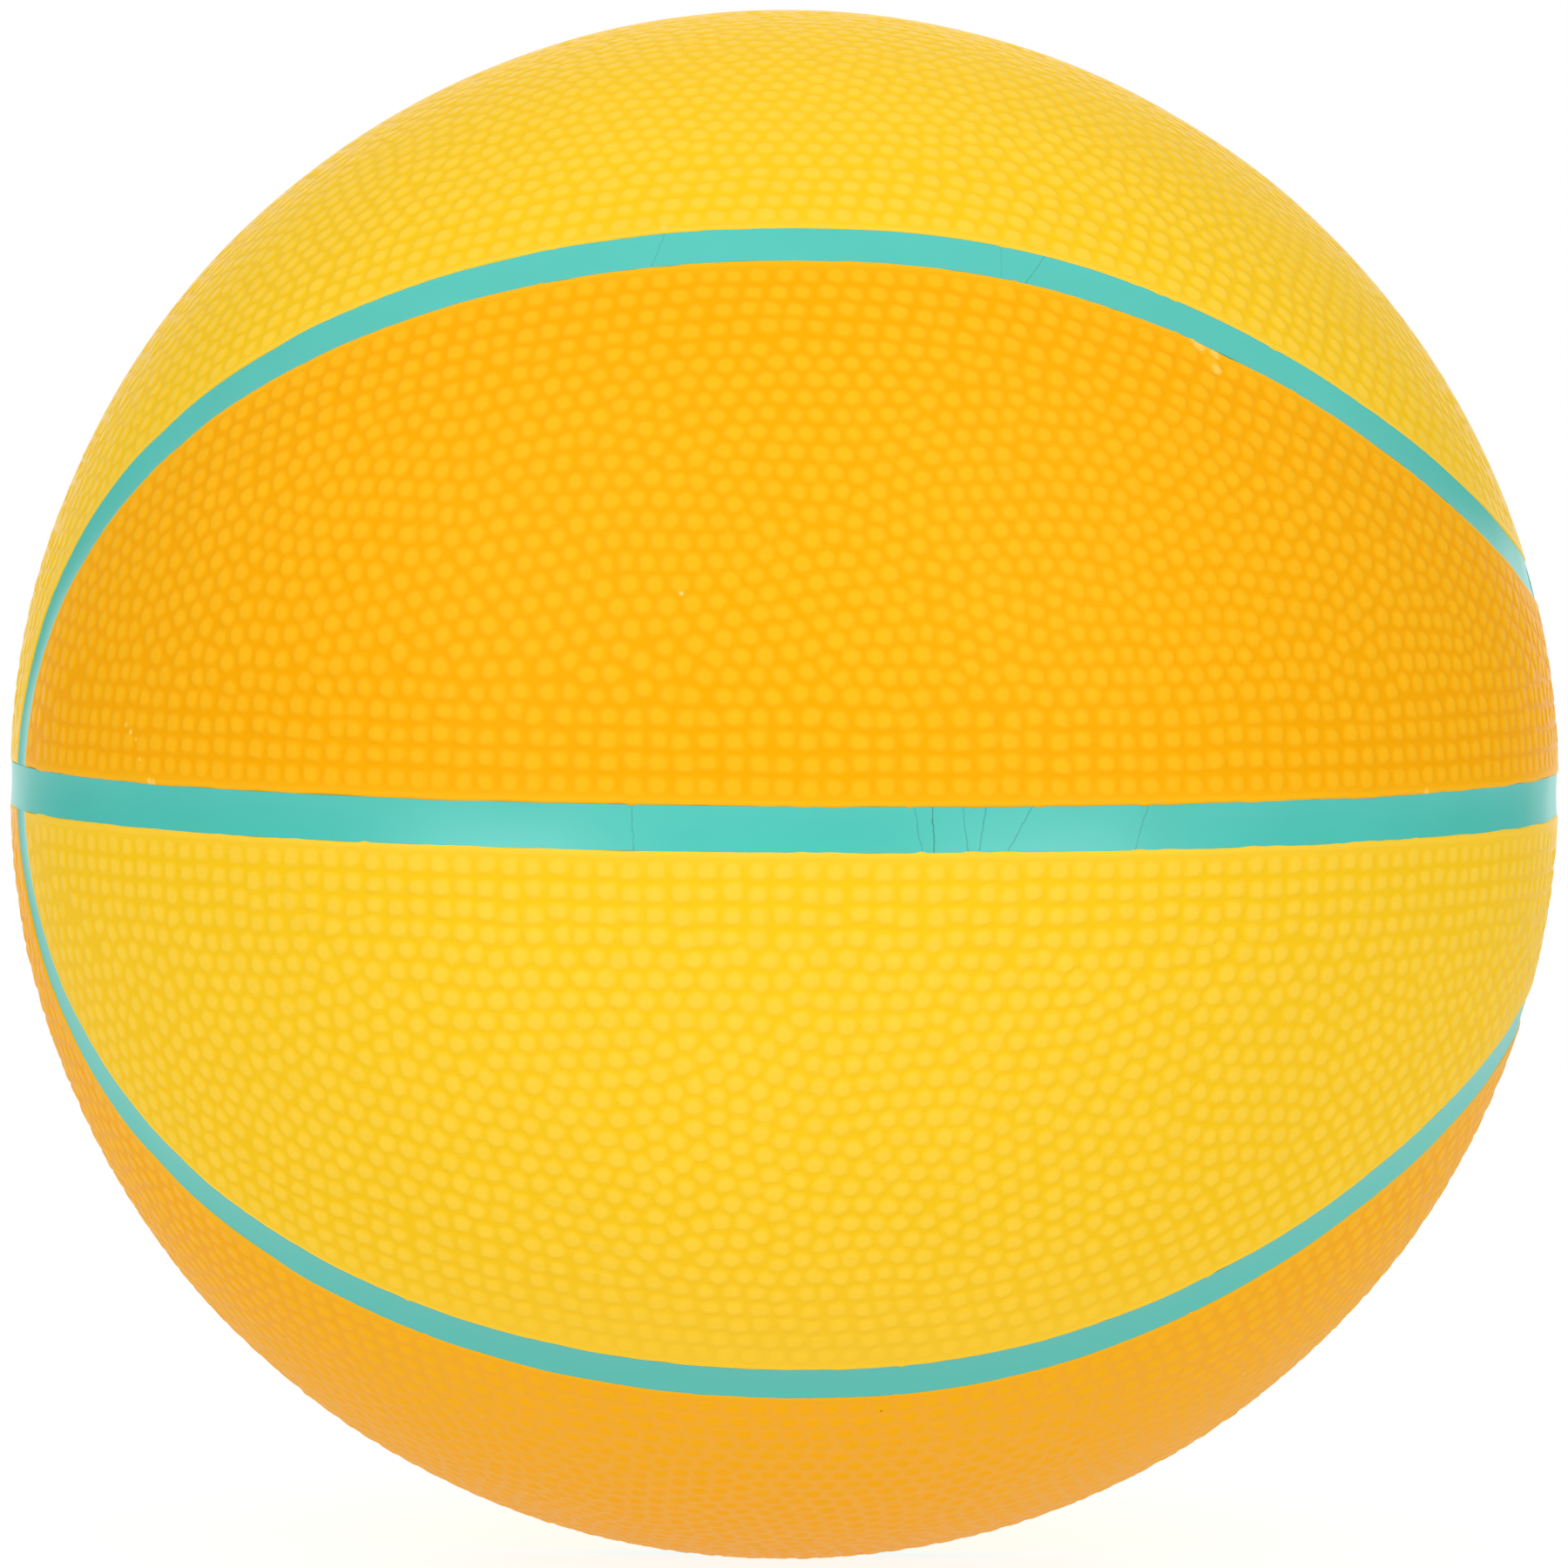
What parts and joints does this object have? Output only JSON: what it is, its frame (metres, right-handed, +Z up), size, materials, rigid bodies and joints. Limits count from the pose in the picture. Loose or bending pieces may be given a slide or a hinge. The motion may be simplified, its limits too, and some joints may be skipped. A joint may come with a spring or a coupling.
{
  "type": "basketball",
  "caption": "Inflatable mini rubber basketball: bladder with needle valve, wound thread layer and carcass under pebbled cover panels parted by seam strips.",
  "frame": {"origin": "centre of the ball", "axes": "+Z up, square to the equator seam; -Y is the front, the middle of the loop seam that the picture shows; +X to the right of it"},
  "size_m": [0.1778, 0.1778, 0.1778],
  "materials": {
    "orange_rubber": "satin",
    "yellow_rubber": "satin",
    "teal_strip": "satin",
    "carcass_rubber": "matte",
    "thread": "matte",
    "butyl": "matte",
    "valve_plug": "matte"
  },
  "bodies": {
    "root": {"front_upper_inner_panel": "orange_rubber", "front_upper_outer_panel": "yellow_rubber", "front_lower_inner_panel": "yellow_rubber", "front_lower_outer_panel": "orange_rubber", "back_upper_inner_panel": "yellow_rubber", "back_upper_outer_panel": "orange_rubber", "back_lower_inner_panel": "orange_rubber", "back_lower_outer_panel": "yellow_rubber", "equator_strip": "teal_strip", "upper_meridian_strip": "teal_strip", "lower_meridian_strip": "teal_strip", "front_upper_loop_strip": "teal_strip", "front_lower_loop_strip": "teal_strip", "back_upper_loop_strip": "teal_strip", "back_lower_loop_strip": "teal_strip", "front_carcass_half": "carcass_rubber", "back_carcass_half": "carcass_rubber", "thread_winding": "thread", "air_bladder": "butyl", "valve_housing": "butyl", "valve_core": "valve_plug"}
  },
  "joints": []
}
